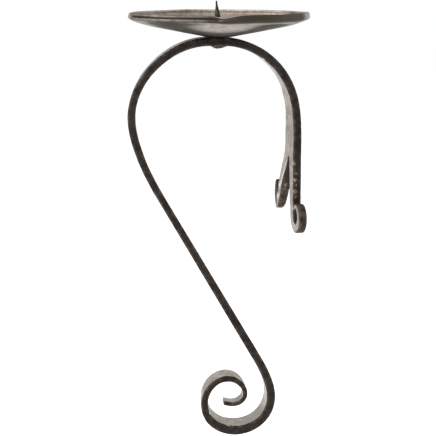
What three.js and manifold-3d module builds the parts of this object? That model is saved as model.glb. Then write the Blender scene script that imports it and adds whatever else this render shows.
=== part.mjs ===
// Forged candle bracket: a flat bar bent to an arch with a scrolled tail, a dished pan riveted on top
// of the arch by its own spike, and a forked arm whose two curls take the fixing screws.
// Millimetres, +Z up. The origin lies on the flat back of the arm, just above the fork.
// +X points into the post or board that carries the bracket, and +Y runs along that board.
import * as THREE from "three";
import Module from "manifold-3d";
import { mergeVertices } from "three/addons/utils/BufferGeometryUtils.js";

const wasm = await Module();
wasm.setup();

// ---- Driving sizes ----

// The flat bar
const barWidth = 20;
const barThickness = 6.2;
const edgeChamfer = 0.5;
const armAboveOrigin = 10.4;

// The bar's bends from the arm to the tip, as a smith would set them one after another. Each runs from
// the radius before it to its own radius, and ends with its own thickness, width and lean.
// turn: degrees, + to the left of the way the bar runs. radius: 0 is straight.
// lean: how far the far edge stands towards +X for each mm of width, from the hand twist in the bar.
const spring = { turn: 11.5, radius: 57, thickness: 6.1, width: barWidth, lean: 0.055 };
const crown = { turn: 78.5, radius: 54, thickness: 5.8, width: barWidth, lean: 0.095 };
const seat = { length: 10, thickness: 5.8, width: barWidth, lean: 0.11 };
const shoulder = { turn: 39, startRadius: 46, radius: 68, thickness: 5.8, width: barWidth, lean: 0.16 };
const cheek = { turn: 48.5, radius: 45, thickness: 5.6, width: barWidth, lean: 0.18 };
const release = { turn: 20, radius: 163, thickness: 5.7, width: barWidth, lean: 0.12 };
const flank = { turn: 6.5, radius: 137, thickness: 5.3, width: barWidth, lean: 0.105 };
const tailStart = { turn: 6, radius: 0, thickness: 5.2, width: barWidth, lean: 0.09 };
const tail = { length: 138, thickness: 6.2, width: barWidth, lean: 0.07 };
const scrollEntry = { turn: -16.5, radius: 43, thickness: 6.4, width: barWidth, lean: 0.11 };
const scrollHeel = { turn: -35, radius: 22, thickness: 6.7, width: barWidth, lean: 0.125 };
const scrollBase = { turn: -75, radius: 31, thickness: 7.2, width: 19.5, lean: 0.15 };
const scrollRise = { turn: -52, radius: 21, thickness: 5.9, width: 18.5, lean: 0.185 };
const scrollBack = { turn: -83, radius: 18, thickness: 4.8, width: 17, lean: 0.16 };
const scrollTop = { turn: -46, radius: 13, thickness: 4.6, width: 15.5, lean: 0.145 };
const innerFall = { turn: -41, radius: 20.5, thickness: 4, width: 13.5, lean: 0.13 };
const innerTurn = { turn: -63, radius: 7, thickness: 3.4, width: 11.5, lean: 0.11 };
const innerBase = { turn: -60, radius: 10.5, thickness: 3.2, width: 10.5, lean: 0.105 };
const tip = { turn: -26, radius: 0, thickness: 3.2, width: 10, lean: 0.1 };
const barBends = [
  spring, crown, seat, shoulder, cheek, release, flank, tailStart, tail, scrollEntry, scrollHeel,
  scrollBase, scrollRise, scrollBack, scrollTop, innerFall, innerTurn, innerBase, tip,
];

// The fork at the arm's lower end, in the plane of the board. Y is across, Z is up.
// A prong's wall thins from rootWall, where it starts to roll, to curlTipWall at its tip.
const forkTop = 4;
const slitTop = -8;
const slitOffset = 1.6;
const slitTipRadius = 0.6;
const eyeRadius = 5.2;
const curlTipWall = 2.6;
const curlTaper = 1.8;
const curlSweep = 315;
const nearEye = { across: -15.3, up: -49.6, swing: 0, rootWall: 8.2 };
const farEye = { across: 32, up: -39.2, swing: 20, rootWall: 7.7 };
const farBowDepth = 3;
const farBowEnd = 42;
const notchRise = 4;

// How soft the fork's three free edges run: each handle's reach, as a share of the edge's own drop.
const nearSlitEdge = { leave: 0.15, arrive: 0.2, end: 0.4 };
const farSlitEdge = { leaveAcross: 0.46, leaveUp: 0.27, arrive: 0.35 };
const farOuterEdge = { leaveAcross: 0.22, leaveUp: 0.36, arriveAcross: 0.12, arriveUp: 0.29 };


// The pan
const panAxisX = -60;
const panFloorRadius = 10;
const panConeAngle = 11;
const panConeRadius = 48;
const panFlareAngle = 25;
const panRimRadius = 65.4;
const panRimBendRadius = 2.4;
const panLipAngle = 108;
const panLipHeight = 1.9;
const panSheet = 1.8;
const panTurnSteps = 72;

// The pouring dent in the pan's near rim
const dentAngle = 262;
const dentHalfWidth = 7.5;
const dentOut = 1.1;
const dentDown = 2.4;
const dentFade = 9;

// The spike and its rivet shank
const shankRadius = 2.9;
const spikeHeight = 23.5;
const spikeBaseHalf = 3.9;
const spikeNeckRadius = 1.9;
const spikeNeckHeight = 15.5;
const spikeTipRadius = 0.65;
const spikeLean = 1.9;
const spikeSquareness = 0.9;
const headRadius = 4.3;
const headHeight = 1.2;
const washerRadius = 6;
const washerThickness = 0.8;
const washerChamfer = 0.25;

// The peened head's round, from its crown up to the washer, as shares of its height and radius
const peenedHead = [
  { down: 1, size: 0.55 },
  { down: 0.85, size: 0.82 },
  { down: 0.45, size: 1 },
  { down: 0, size: 0.97 },
];

// Clearances
const seatGap = 0.3;
const holeClearance = 0.3;
const washerGap = 0.4;

// How finely round shapes are cut into flats
const flats = {
  curl: 26, forkEdge: 6, eye: 24, shank: 32, washer: 32, spike: 16, spikeRows: 9, flare: 4, rimBend: 4,
};

// ---- Finishes ----
const finishes = {
  bar: { color: 0x3a3530, roughness: 0.46, metalness: 0.9 },
  pan: { color: 0x8d867c, roughness: 0.36, metalness: 0.95 },
  spike: { color: 0x2b2723, roughness: 0.55, metalness: 0.85 },
  washer: { color: 0x5a534a, roughness: 0.5, metalness: 0.9 },
};

// ---- Small helpers ----
const radians = THREE.MathUtils.degToRad;
const mix = THREE.MathUtils.lerp;

function curvatureOf(radius, turn) {
  if (radius === 0) {
    return 0;
  }
  return Math.sign(turn) / radius;
}

// A closed body from rings of equal length, each a list of points in the same order. The ends are
// closed with a fan round each end ring's middle.
function loft(rings) {
  const count = rings[0].length;
  const positions = rings.flat().flatMap((point) => [point.x, point.y, point.z]);
  const indices = [];
  for (let ring = 0; ring < rings.length - 1; ring += 1) {
    for (let side = 0; side < count; side += 1) {
      const next = (side + 1) % count;
      const a = ring * count + side;
      const b = ring * count + next;
      const c = a + count;
      const d = b + count;
      indices.push(a, b, d, a, d, c);
    }
  }
  for (const [ring, flip] of [[0, true], [rings.length - 1, false]]) {
    const middle = new THREE.Vector3();
    rings[ring].forEach((point) => middle.add(point));
    middle.divideScalar(count);
    const centre = positions.length / 3;
    positions.push(middle.x, middle.y, middle.z);
    for (let side = 0; side < count; side += 1) {
      const a = ring * count + side;
      const b = ring * count + ((side + 1) % count);
      indices.push(centre, flip ? b : a, flip ? a : b);
    }
  }
  const geometry = new THREE.BufferGeometry();
  geometry.setAttribute("position", new THREE.Float32BufferAttribute(positions, 3));
  geometry.setIndex(indices);
  return geometry;
}

// A solid for joining and cutting, from a closed geometry.
function solidOf(geometry) {
  const bare = geometry.clone();
  bare.deleteAttribute("normal");
  bare.deleteAttribute("uv");
  const merged = mergeVertices(bare, 1e-4);
  return new wasm.Manifold(new wasm.Mesh({
    numProp: 3,
    vertProperties: new Float32Array(merged.attributes.position.array),
    triVerts: new Uint32Array(merged.index.array),
  }));
}

function geometryOf(solid) {
  const mesh = solid.getMesh();
  const geometry = new THREE.BufferGeometry();
  geometry.setAttribute("position", new THREE.BufferAttribute(mesh.vertProperties, 3));
  geometry.setIndex(new THREE.BufferAttribute(mesh.triVerts, 1));
  return geometry;
}

function makeMesh(name, geometry, finish) {
  geometry.computeVertexNormals();
  const mesh = new THREE.Mesh(geometry, new THREE.MeshStandardMaterial(finish));
  mesh.name = name;
  return mesh;
}

// ---- The bar's centre line ----

// Follows the bends from the fork up and round, and returns the stations where a section is set.
// A bend's curvature goes evenly from the one before it to its own.
function traceBar(bends) {
  const degreesPerStation = 5;
  const longestStep = 23;
  const finestStep = 0.25;
  const start = { thickness: barThickness, width: barWidth, lean: 0 };
  const here = { x: -barThickness / 2, z: armAboveOrigin, heading: Math.PI / 2, curvature: 0 };
  const stations = [{ x: here.x, z: 0, heading: here.heading, ...start }];
  stations.push({ x: here.x, z: here.z, heading: here.heading, ...start });
  const level = {};
  let before = start;
  for (const bend of bends) {
    const turn = bend.turn ?? 0;
    if (bend.startRadius) {
      here.curvature = curvatureOf(bend.startRadius, turn);
    }
    const first = turn === 0 ? 0 : here.curvature;
    const last = turn === 0 ? 0 : curvatureOf(bend.radius, turn);
    const length = bend.length ?? (2 * radians(turn)) / (first + last);
    const steps = Math.max(1, Math.ceil(Math.abs(turn) / degreesPerStation), Math.ceil(length / longestStep));
    const fine = Math.ceil(length / steps / finestStep);
    if (bend === seat) {
      level.top = here.z + bend.thickness / 2;
      level.underside = here.z - bend.thickness / 2;
    }
    for (let step = 1; step <= steps; step += 1) {
      for (let small = 0; small < fine; small += 1) {
        const share = ((step - 1) * fine + small + 0.5) / (steps * fine);
        const piece = length / (steps * fine);
        const curvature = mix(first, last, share);
        const middleHeading = here.heading + (curvature * piece) / 2;
        here.x += Math.cos(middleHeading) * piece;
        here.z += Math.sin(middleHeading) * piece;
        here.heading += curvature * piece;
      }
      const share = step / steps;
      stations.push({
        x: here.x,
        z: here.z,
        heading: here.heading,
        thickness: mix(before.thickness, bend.thickness, share),
        width: mix(before.width, bend.width, share),
        lean: mix(before.lean, bend.lean, share),
      });
    }
    here.curvature = last;
    before = bend;
  }
  return { stations, seat: level };
}

// The bar's section at a station: a flat bar with its four edges knocked off.
function barSection(station) {
  const halfThickness = station.thickness / 2;
  const halfWidth = station.width / 2;
  const c = edgeChamfer;
  const corners = [
    [halfThickness - c, halfWidth], [halfThickness, halfWidth - c],
    [halfThickness, c - halfWidth], [halfThickness - c, -halfWidth],
    [c - halfThickness, -halfWidth], [-halfThickness, c - halfWidth],
    [-halfThickness, halfWidth - c], [c - halfThickness, halfWidth],
  ];
  return corners.map(([out, across]) => new THREE.Vector3(
    station.x - Math.sin(station.heading) * out + station.lean * across,
    across,
    station.z + Math.cos(station.heading) * out,
  ));
}

// ---- The forked end of the arm ----

// A point of a curl's outer edge. The sweep goes from the prong's slit side, down and out, to the tip.
function curlPoint(eye, side, share) {
  const angle = radians(180 + eye.swing + share * curlSweep);
  const wall = eye.rootWall - (eye.rootWall - curlTipWall) * share ** curlTaper;
  const reach = eyeRadius + wall;
  return new THREE.Vector2(
    eye.across + side * Math.cos(angle) * reach,
    eye.up + Math.sin(angle) * reach,
  );
}

function curlEdge(eye, side) {
  return Array.from({ length: flats.curl + 1 }, (_, step) => curlPoint(eye, side, step / flats.curl));
}

// Points of a smooth curve between two points, with two handles.
function easedEdge(from, fromHandle, toHandle, to) {
  return new THREE.CubicBezierCurve(from, fromHandle, toHandle, to).getPoints(flats.forkEdge);
}

function forkOutline() {
  const half = barWidth / 2;
  const nearCurl = curlEdge(nearEye, -1);
  const farCurl = curlEdge(farEye, 1);
  const nearRoot = nearCurl[0];
  const nearTip = nearCurl[nearCurl.length - 1];
  const farRoot = farCurl[0];
  const farTip = farCurl[farCurl.length - 1];
  const slitNear = new THREE.Vector2(slitOffset - slitTipRadius, slitTop - slitTipRadius);
  const slitFar = new THREE.Vector2(slitOffset + slitTipRadius, slitTop - slitTipRadius);
  const nearReach = nearRoot.y - slitTop;
  const farDrop = new THREE.Vector2().subVectors(farRoot, slitFar);
  const swing = radians(farEye.swing);
  const down = new THREE.Vector2(Math.sin(swing), -Math.cos(swing));
  const outerTop = new THREE.Vector2(half, 0);
  const outerDrop = new THREE.Vector2().subVectors(farTip, outerTop);
  const points = [
    new THREE.Vector2(-half, forkTop),
    new THREE.Vector2(-half, nearTip.y + notchRise),
    ...nearCurl.slice().reverse(),
    ...easedEdge(
      nearRoot,
      new THREE.Vector2(nearRoot.x, nearRoot.y - nearReach * nearSlitEdge.leave),
      new THREE.Vector2(slitNear.x, nearRoot.y - nearReach * nearSlitEdge.arrive),
      new THREE.Vector2(slitNear.x, nearRoot.y - nearReach * nearSlitEdge.end),
    ).slice(1),
    slitNear,
    new THREE.Vector2(slitOffset, slitTop),
    ...easedEdge(
      slitFar,
      new THREE.Vector2(
        slitFar.x + farDrop.x * farSlitEdge.leaveAcross,
        slitFar.y + farDrop.y * farSlitEdge.leaveUp,
      ),
      new THREE.Vector2().copy(farRoot).addScaledVector(down, farDrop.y * farSlitEdge.arrive),
      farRoot,
    ),
    ...farCurl.slice(1),
    ...easedEdge(
      farTip,
      new THREE.Vector2(
        farTip.x - outerDrop.x * farOuterEdge.leaveAcross,
        farTip.y - outerDrop.y * farOuterEdge.leaveUp,
      ),
      new THREE.Vector2(
        outerTop.x + outerDrop.x * farOuterEdge.arriveAcross,
        outerTop.y + outerDrop.y * farOuterEdge.arriveUp,
      ),
      outerTop,
    ).slice(1),
    new THREE.Vector2(half, forkTop),
  ];
  const outline = new THREE.Shape(points);
  for (const eye of [nearEye, farEye]) {
    const hole = new THREE.Path();
    hole.absarc(eye.across, eye.up, eyeRadius, 0, Math.PI * 2, true);
    outline.holes.push(hole);
  }
  return outline;
}

// How far the far prong stands off the board at a place across it. The prong is bowed off the board
// and its curl leans back to touch it.
function farBow(across) {
  const share = THREE.MathUtils.clamp((across - barWidth / 2) / (farBowEnd - barWidth / 2), 0, 1);
  return farBowDepth * Math.sin(share * Math.PI) ** 2;
}

// The fork lies against the board: its back is the plane X = 0, but for the far prong's bow.
function forkGeometry() {
  const geometry = new THREE.ExtrudeGeometry(forkOutline(), {
    depth: barThickness - 2 * edgeChamfer,
    bevelEnabled: true,
    bevelThickness: edgeChamfer,
    bevelSize: edgeChamfer,
    bevelOffset: -edgeChamfer,
    bevelSegments: 1,
    curveSegments: flats.eye,
  });
  const acrossUpOut = new THREE.Matrix4().makeBasis(
    new THREE.Vector3(0, 1, 0),
    new THREE.Vector3(0, 0, 1),
    new THREE.Vector3(1, 0, 0),
  );
  geometry.applyMatrix4(acrossUpOut);
  geometry.translate(edgeChamfer - barThickness, 0, 0);
  const position = geometry.attributes.position;
  for (let index = 0; index < position.count; index += 1) {
    position.setX(index, position.getX(index) - farBow(position.getY(index)));
  }
  return geometry;
}

function uprightCylinder(radius, low, high, x) {
  const geometry = new THREE.CylinderGeometry(radius, radius, high - low, flats.shank);
  geometry.rotateX(Math.PI / 2);
  geometry.translate(x, 0, (low + high) / 2);
  return geometry;
}

// ---- The pieces ----

function makeScrollBar(bar) {
  const body = solidOf(loft(bar.stations.map(barSection)));
  const fork = solidOf(forkGeometry());
  const shankHole = solidOf(uprightCylinder(
    shankRadius + holeClearance,
    bar.seat.underside - barThickness,
    bar.seat.top + barThickness,
    panAxisX,
  ));
  const forging = body.add(fork).subtract(shankHole);
  return makeMesh("scroll_bar", geometryOf(forging), finishes.bar);
}

// The pan's underside from the shank hole to the top of the lip, as [radius, height, heading].
function panUnderside() {
  const cone = radians(panConeAngle);
  const flare = radians(panFlareAngle);
  const lip = radians(panLipAngle);
  const points = [[shankRadius + holeClearance, 0, 0], [panFloorRadius, 0, cone / 2]];
  const coneEndHeight = (panConeRadius - panFloorRadius) * Math.tan(cone);
  points.push([panConeRadius, coneEndHeight, cone]);
  const bendInner = panRimRadius - panRimBendRadius * (1 - Math.sin(flare));
  const flareRadius = (bendInner - panConeRadius) / (Math.sin(flare) - Math.sin(cone));
  for (let step = 1; step <= flats.flare; step += 1) {
    const heading = mix(cone, flare, step / flats.flare);
    points.push([
      panConeRadius + flareRadius * (Math.sin(heading) - Math.sin(cone)),
      coneEndHeight + flareRadius * (Math.cos(cone) - Math.cos(heading)),
      heading,
    ]);
  }
  const [, flareEndHeight] = points[points.length - 1];
  for (let step = 1; step <= flats.rimBend; step += 1) {
    const heading = mix(flare, lip, step / flats.rimBend);
    points.push([
      bendInner + panRimBendRadius * (Math.sin(heading) - Math.sin(flare)),
      flareEndHeight + panRimBendRadius * (Math.cos(flare) - Math.cos(heading)),
      heading,
    ]);
  }
  const [bendEndRadius, bendEndHeight] = points[points.length - 1];
  points.push([
    bendEndRadius + panLipHeight * Math.cos(lip),
    bendEndHeight + panLipHeight * Math.sin(lip),
    lip,
  ]);
  return points;
}

// Presses the rim out and down where the pouring dent is.
function pressDent(geometry, rimHeight) {
  const position = geometry.attributes.position;
  const middle = radians(dentAngle);
  for (let index = 0; index < position.count; index += 1) {
    const x = position.getX(index);
    const y = position.getY(index);
    const z = position.getZ(index);
    const radius = Math.hypot(x, y);
    const away = Math.atan2(Math.sin(Math.atan2(y, x) - middle), Math.cos(Math.atan2(y, x) - middle));
    const across = (away * radius) / dentHalfWidth;
    const depth = THREE.MathUtils.smoothstep(z, rimHeight - dentFade, rimHeight);
    const press = Math.exp(-across * across) * depth;
    const grow = (radius + dentOut * press) / radius;
    position.setXYZ(index, x * grow, y * grow, z - dentDown * press);
  }
}

function makeDripPan(bar) {
  const under = panUnderside();
  const upper = under.map(([radius, height, heading], index) => [
    index === 0 ? radius : radius - panSheet * Math.sin(heading),
    height + panSheet * (index < 2 ? 1 : Math.cos(heading)),
  ]);
  const profile = [...under, ...upper.reverse(), under[0]].map(([r, h]) => new THREE.Vector2(r, h));
  const geometry = new THREE.LatheGeometry(profile, panTurnSteps);
  geometry.rotateX(Math.PI / 2);
  pressDent(geometry, under[under.length - 1][1]);
  geometry.translate(panAxisX, 0, bar.seat.top + seatGap);
  return makeMesh("drip_pan", geometryOf(solidOf(geometry)), finishes.pan);
}

// A ring of the spike: round at squareness 0, square at 1.
function spikeRing(x, z, radius, squareness) {
  return Array.from({ length: flats.spike }, (_, side) => {
    const angle = ((side + 0.5) * 2 * Math.PI) / flats.spike;
    const reach = Math.max(Math.abs(Math.cos(angle)), Math.abs(Math.sin(angle)));
    const size = radius / reach ** squareness;
    return new THREE.Vector3(x + Math.cos(angle) * size, Math.sin(angle) * size, z);
  });
}

function makePricket(bar) {
  const panFloor = bar.seat.top + seatGap + panSheet;
  const base = panFloor + seatGap;
  const headTop = bar.seat.underside - washerGap - washerThickness - seatGap;
  const rings = peenedHead.map(({ down, size }) => (
    spikeRing(panAxisX, headTop - headHeight * down, headRadius * size, 0)
  ));
  rings.push(
    spikeRing(panAxisX, headTop, shankRadius, 0),
    spikeRing(panAxisX, base, shankRadius, 0),
    spikeRing(panAxisX, base, spikeBaseHalf, spikeSquareness),
  );
  for (let step = 1; step <= flats.spikeRows; step += 1) {
    const share = step / flats.spikeRows;
    const height = share * spikeHeight;
    const neckShare = spikeNeckHeight / spikeHeight;
    const belowNeck = Math.min(share / neckShare, 1);
    const aboveNeck = Math.max((share - neckShare) / (1 - neckShare), 0);
    const lower = mix(spikeBaseHalf, spikeNeckRadius, Math.sin((belowNeck * Math.PI) / 2));
    const radius = mix(lower, spikeTipRadius, Math.sin((aboveNeck * Math.PI) / 2));
    const x = panAxisX - spikeLean * share;
    rings.push(spikeRing(x, base + height, radius, spikeSquareness * (1 - share)));
  }
  return makeMesh("pricket", loft(rings), finishes.spike);
}

function makeRivetWasher(bar) {
  const top = bar.seat.underside - washerGap;
  const bottom = top - washerThickness;
  const inner = shankRadius + holeClearance;
  const profile = [
    [inner, bottom], [washerRadius - washerChamfer, bottom], [washerRadius, bottom + washerChamfer],
    [washerRadius, top], [inner, top], [inner, bottom],
  ].map(([r, h]) => new THREE.Vector2(r, h));
  const geometry = new THREE.LatheGeometry(profile, flats.washer);
  geometry.rotateX(Math.PI / 2);
  geometry.translate(panAxisX, 0, 0);
  return makeMesh("rivet_washer", geometryOf(solidOf(geometry)), finishes.washer);
}

// ---- The whole bracket ----
const bar = traceBar(barBends);
const bracket = new THREE.Group();
bracket.add(makeScrollBar(bar), makeDripPan(bar), makePricket(bar), makeRivetWasher(bar));

export default bracket;
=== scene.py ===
import math

import bmesh
import bpy
import numpy as np
from bpy.props import FloatProperty, FloatVectorProperty, IntProperty, PointerProperty
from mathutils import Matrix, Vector, noise
from mathutils.bvhtree import BVHTree


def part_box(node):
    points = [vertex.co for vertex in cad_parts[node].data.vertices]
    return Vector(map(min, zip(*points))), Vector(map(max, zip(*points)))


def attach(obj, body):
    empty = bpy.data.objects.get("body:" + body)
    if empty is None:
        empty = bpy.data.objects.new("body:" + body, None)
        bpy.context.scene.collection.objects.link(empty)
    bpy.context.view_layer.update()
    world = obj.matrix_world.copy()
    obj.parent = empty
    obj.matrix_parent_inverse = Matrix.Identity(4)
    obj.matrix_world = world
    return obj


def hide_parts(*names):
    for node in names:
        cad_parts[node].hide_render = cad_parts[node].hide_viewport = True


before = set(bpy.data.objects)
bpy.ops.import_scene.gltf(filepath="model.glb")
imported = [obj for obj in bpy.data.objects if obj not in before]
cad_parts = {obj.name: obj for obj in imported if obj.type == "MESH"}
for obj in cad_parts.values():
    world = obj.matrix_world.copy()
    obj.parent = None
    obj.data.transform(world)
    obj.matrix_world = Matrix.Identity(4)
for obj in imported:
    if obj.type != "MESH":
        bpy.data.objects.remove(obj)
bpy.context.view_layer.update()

bl_info = {
    "name": "Forged Candle Bracket",
    "version": (1, 0, 0),
    "blender": (4, 5, 0),
    "location": "3D View > Sidebar > Candle Bracket",
    "description": "Dresses a forged candle bracket: hammered bar, dished pan, spike and rivet washer",
    "category": "Object",
}

MM = 0.001
BODY = "root"
X, Y, Z = range(3)

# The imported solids' places, which the dressed pieces are fitted to.
PAN_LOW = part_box("drip_pan")[0]
SPIKE_LOW, SPIKE_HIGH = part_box("pricket")
WASHER_LOW, WASHER_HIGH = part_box("rivet_washer")
AXIS_X = (WASHER_LOW.x + WASHER_HIGH.x) / 2
PAN_CENTRE = Vector((AXIS_X, 0.0, PAN_LOW.z))

# The pan's front: the turn from +X towards +Y that faces someone who stands before the bracket.
FRONT_TURN = math.radians(257.5)

# The washer is drawn up against the arch, closer than the solids' clearance.
WASHER_LIFT = 0.2 * MM

# Points of a mesh that are closer than this are merged.
WELD = 0.002 * MM

# A hammer blow's size and strength vary between these shares of the given ones.
BLOW_SIZES = (0.6, 1.35)
BLOW_STRENGTHS = (0.25, 1.0)

# How far a sharp arris stands out from the mean of its neighbours.
ARRIS_BULGE = 0.045 * MM


# ---- Settings ----

class BarSettings(bpy.types.PropertyGroup):
    """The forged bar's surface."""

    grain: FloatProperty(
        name="Surface grain", description="Size of the facets that carry the hammer marks",
        default=0.68 * MM, min=0.4 * MM, max=3 * MM, subtype="DISTANCE", unit="LENGTH")
    blow_depth: FloatProperty(
        name="Hammer depth", description="How deep a hammer blow sinks into the bar",
        default=0.09 * MM, min=0, max=1 * MM, subtype="DISTANCE", unit="LENGTH")
    blow_radius: FloatProperty(
        name="Hammer face", description="Radius of the flat that a blow leaves",
        default=6 * MM, min=1 * MM, max=20 * MM, subtype="DISTANCE", unit="LENGTH")
    blow_count: IntProperty(
        name="Hammer blows", description="Number of hammer marks on the bar",
        default=520, min=0, max=3000)
    scale_colour: FloatVectorProperty(
        name="Forge scale", description="Colour of the dark scale on the bar's edges",
        default=(0.0215, 0.0155, 0.0120), min=0, max=1, subtype="COLOR")
    # The wide faces' colour, lighter than the edges partly as painted sheen.
    burnish_and_sheen_colour: FloatVectorProperty(
        name="Burnished steel", description="Colour of the bar's burnished wide faces",
        default=(0.76, 0.695, 0.635), min=0, max=1, subtype="COLOR")


class PanSettings(bpy.types.PropertyGroup):
    """The dished pan."""

    sheet: FloatProperty(
        name="Sheet thickness", description="Thickness of the pan's sheet",
        default=1.8 * MM, min=0.5 * MM, max=4 * MM, subtype="DISTANCE", unit="LENGTH")
    floor_radius: FloatProperty(
        name="Floor radius", description="Radius of the flat middle that sits on the bar",
        default=10 * MM, min=7 * MM, max=30 * MM, subtype="DISTANCE", unit="LENGTH")
    cone_radius: FloatProperty(
        name="Cone radius", description="Where the straight cone ends and the flare starts",
        default=48 * MM, min=30 * MM, max=60 * MM, subtype="DISTANCE", unit="LENGTH")
    cone_angle: FloatProperty(
        name="Cone angle", description="Rise of the cone from level",
        default=math.radians(11), min=0, max=1, subtype="ANGLE")
    flare_angle: FloatProperty(
        name="Flare angle", description="Rise of the sheet where the rim starts to bend",
        default=math.radians(25), min=0, max=1.4, subtype="ANGLE")
    rim_radius: FloatProperty(
        name="Rim radius", description="Widest radius of the pan",
        default=65.3 * MM, min=40 * MM, max=90 * MM, subtype="DISTANCE", unit="LENGTH")
    rim_bend: FloatProperty(
        name="Rim bend", description="Radius of the bend at the base of the lip",
        default=2.4 * MM, min=1 * MM, max=6 * MM, subtype="DISTANCE", unit="LENGTH")
    lip_angle: FloatProperty(
        name="Lip angle", description="How far the lip has turned from level",
        default=math.radians(108), min=1, max=2.5, subtype="ANGLE")
    dent_turn: FloatProperty(
        name="Dent place", description="Turn of the pouring dent round the pan, from +X towards +Y",
        default=math.radians(262), subtype="ANGLE")
    lip_height: FloatProperty(
        name="Lip height", description="Straight length of the lip above its bend",
        default=1.9 * MM, min=0, max=6 * MM, subtype="DISTANCE", unit="LENGTH")
    steel_colour: FloatVectorProperty(
        name="Pan steel", description="Colour of the pan's bare steel",
        default=(0.56, 0.505, 0.455), min=0, max=1, subtype="COLOR")
    # One colour for the pan's tarnish and for its painted shade and painted dark reflection.
    tarnish_and_shade_colour: FloatVectorProperty(
        name="Tarnish", description="Colour of the dark tarnish on the pan",
        default=(0.052, 0.043, 0.031), min=0, max=1, subtype="COLOR")


class SpikeSettings(bpy.types.PropertyGroup):
    """The spike, its rivet shank and the washer under the bar."""

    base_half: FloatProperty(
        name="Half width at the foot", description="Half the width of the square foot",
        default=3.9 * MM, min=1 * MM, max=8 * MM, subtype="DISTANCE", unit="LENGTH")
    neck_radius: FloatProperty(
        name="Neck radius", description="Half the width where the foot's flare ends",
        default=1.9 * MM, min=0.5 * MM, max=5 * MM, subtype="DISTANCE", unit="LENGTH")
    neck_height: FloatProperty(
        name="Neck height", description="Height of the neck above the pan's floor",
        default=15.5 * MM, min=5 * MM, max=20 * MM, subtype="DISTANCE", unit="LENGTH")
    tip_radius: FloatProperty(
        name="Tip radius", description="Half the width of the blunt tip",
        default=0.65 * MM, min=0.2 * MM, max=2 * MM, subtype="DISTANCE", unit="LENGTH")
    lean: FloatProperty(
        name="Lean", description="How far the tip stands off the axis",
        default=1.9 * MM, min=0, max=5 * MM, subtype="DISTANCE", unit="LENGTH")
    head_radius: FloatProperty(
        name="Rivet head radius", description="Radius of the peened head under the bar",
        default=4.15 * MM, min=3 * MM, max=8 * MM, subtype="DISTANCE", unit="LENGTH")
    shank_radius: FloatProperty(
        name="Shank radius", description="Radius of the shank through the pan and the bar",
        default=2.9 * MM, min=1 * MM, max=5 * MM, subtype="DISTANCE", unit="LENGTH")
    black_colour: FloatVectorProperty(
        name="Black scale", description="Colour of the spike",
        default=(0.020, 0.017, 0.015), min=0, max=1, subtype="COLOR")
    washer_colour: FloatVectorProperty(
        name="Washer steel", description="Colour of the washer",
        default=(0.10, 0.088, 0.075), min=0, max=1, subtype="COLOR")


class StageSettings(bpy.types.PropertyGroup):
    """The floor, the light and the camera."""

    floor_drop: FloatProperty(
        name="Floor height", description="Height of the floor in the part's frame",
        default=-0.46, subtype="DISTANCE", unit="LENGTH")
    floor_colour: FloatVectorProperty(
        name="Floor colour", description="Colour of the pale floor",
        default=(0.9, 0.9, 0.9), min=0, max=1, subtype="COLOR")
    surround_level: FloatProperty(
        name="Surround level", description="Brightness of the studio's surround",
        default=0.5, min=0, max=2)
    lens: FloatProperty(
        name="Lens", description="Focal length of the camera in millimetres",
        default=107.34, min=20, max=300)
    distance: FloatProperty(
        name="Camera distance", description="From the camera to the point it looks at",
        default=0.949, min=0.2, max=5, subtype="DISTANCE", unit="LENGTH")
    azimuth: FloatProperty(
        name="Camera azimuth", description="Turn of the view from straight along +Y, towards +X",
        default=math.radians(12.5), subtype="ANGLE")
    elevation: FloatProperty(
        name="Camera elevation", description="How far the view looks down",
        default=math.radians(11), subtype="ANGLE")


# ---- Mesh helpers ----

def add_piece(name, mesh_data, node, material):
    """Puts a finished mesh in the scene in place of a CAD node."""
    piece = bpy.data.objects.new(name, mesh_data)
    bpy.context.collection.objects.link(piece)
    mesh_data.materials.clear()
    mesh_data.materials.append(material)
    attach(piece, BODY)
    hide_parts(node)
    return piece


def mesh_from(bm, name):
    """Merges doubles, turns the faces out and writes a smooth-shaded mesh."""
    bmesh.ops.remove_doubles(bm, verts=bm.verts, dist=WELD)
    bmesh.ops.recalc_face_normals(bm, faces=bm.faces)
    for face in bm.faces:
        face.smooth = True
    data = bpy.data.meshes.new(name)
    bm.to_mesh(data)
    bm.free()
    return data


def read_points(data):
    points = np.zeros(len(data.vertices) * 3)
    data.vertices.foreach_get("co", points)
    return points.reshape(-1, 3)


def read_normals(data):
    normals = np.zeros(len(data.vertices) * 3)
    data.vertex_normals.foreach_get("vector", normals)
    return normals.reshape(-1, 3)


def write_points(data, points):
    data.vertices.foreach_set("co", np.ascontiguousarray(points, dtype=np.float32).ravel())
    data.update()


def write_attribute(data, name, values):
    attribute = data.attributes.new(name, "FLOAT", "POINT")
    attribute.data.foreach_set("value", np.ascontiguousarray(values, dtype=np.float32))


def smooth_step(low, high, values):
    share = np.clip((values - low) / (high - low), 0, 1)
    return share * share * (3 - 2 * share)


def within(points, zone):
    """1 inside a zone's soft steps, each (axis, from, to) in millimetres, and 0 outside them."""
    share = np.ones(len(points))
    for axis, start, end in zone:
        share *= smooth_step(start * MM, end * MM, points[:, axis])
    return share


def read_edges(data):
    """The first and the second vertex of each edge."""
    edges = np.zeros(len(data.edges) * 2, dtype=np.int64)
    data.edges.foreach_get("vertices", edges)
    return edges.reshape(-1, 2).T


def neighbour_mean(data, values):
    """Each vertex's mean over the vertices it shares an edge with."""
    first, second = read_edges(data)
    total = np.zeros_like(values)
    np.add.at(total, first, values[second])
    np.add.at(total, second, values[first])
    count = np.bincount(np.append(first, second), minlength=len(values)).astype(float)
    return total / (count[:, None] if values.ndim == 2 else count)


def neighbour_least(data, values):
    """Each vertex's least value over itself and the vertices it shares an edge with."""
    first, second = read_edges(data)
    least = values.copy()
    np.minimum.at(least, first, values[second])
    np.minimum.at(least, second, values[first])
    return least


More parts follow.
